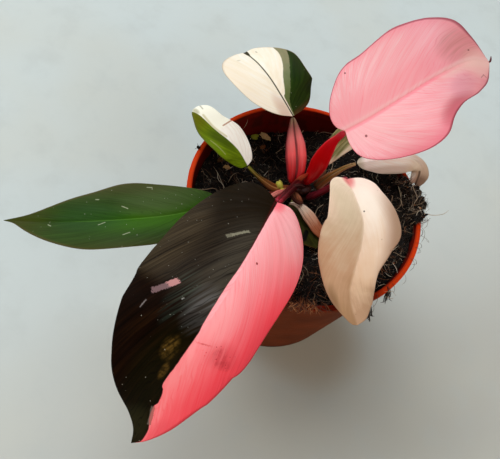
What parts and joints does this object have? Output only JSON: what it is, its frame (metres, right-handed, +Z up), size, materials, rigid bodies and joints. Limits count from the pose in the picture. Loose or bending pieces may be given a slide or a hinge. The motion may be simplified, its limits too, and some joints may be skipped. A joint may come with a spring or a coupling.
{
  "type": "potted philodendron house plant",
  "caption": "Young variegated philodendron with half-black half-pink, pink, cream and green leaves on red stalks, rooted in soil in a tapered nursery pot.",
  "frame": {"origin": "on the pot's axis, on the flat face that the pot stands on", "axes": "+Z up along the pot's axis; -Y towards the front, where the largest leaf hangs over the rim"},
  "size_m": [0.1981, 0.2292, 0.158],
  "materials": {
    "pot_plastic": "satin",
    "soil": "matte",
    "stem": "satin",
    "leaf_black_and_pink": "satin",
    "leaf_pink": "satin",
    "leaf_cream": "satin",
    "leaf_cream_and_green": "satin",
    "leaf_green": "satin",
    "leaf_lime_and_white": "satin",
    "leaf_striped": "satin",
    "stalk_red": "satin",
    "stalk_pink": "satin",
    "stalk_dark_red": "satin",
    "stalk_olive": "satin",
    "dry_sheath": "matte",
    "bud": "satin"
  },
  "bodies": {
    "root": {"pot": "pot_plastic", "soil": "soil", "stem": "stem", "blade_half_moon": "leaf_black_and_pink", "blade_pink": "leaf_pink", "blade_cream_front": "leaf_cream", "blade_cream_green": "leaf_cream_and_green", "blade_green": "leaf_green", "blade_lime": "leaf_lime_and_white", "blade_drooping": "leaf_cream", "blade_striped": "leaf_striped", "blade_low": "leaf_green", "stalk_pink": "stalk_red", "stalk_cream_green": "stalk_pink", "stalk_half_moon": "stalk_dark_red", "stalk_cream_front": "stalk_dark_red", "stalk_drooping": "stalk_olive", "stalk_striped": "stalk_olive", "stalk_lime": "stalk_olive", "stalk_green": "stalk_dark_red", "stalk_low": "stalk_olive", "sheath_dry": "dry_sheath", "sheath_curl": "dry_sheath", "sheath_flap": "stalk_pink", "bud": "bud"}
  },
  "joints": []
}
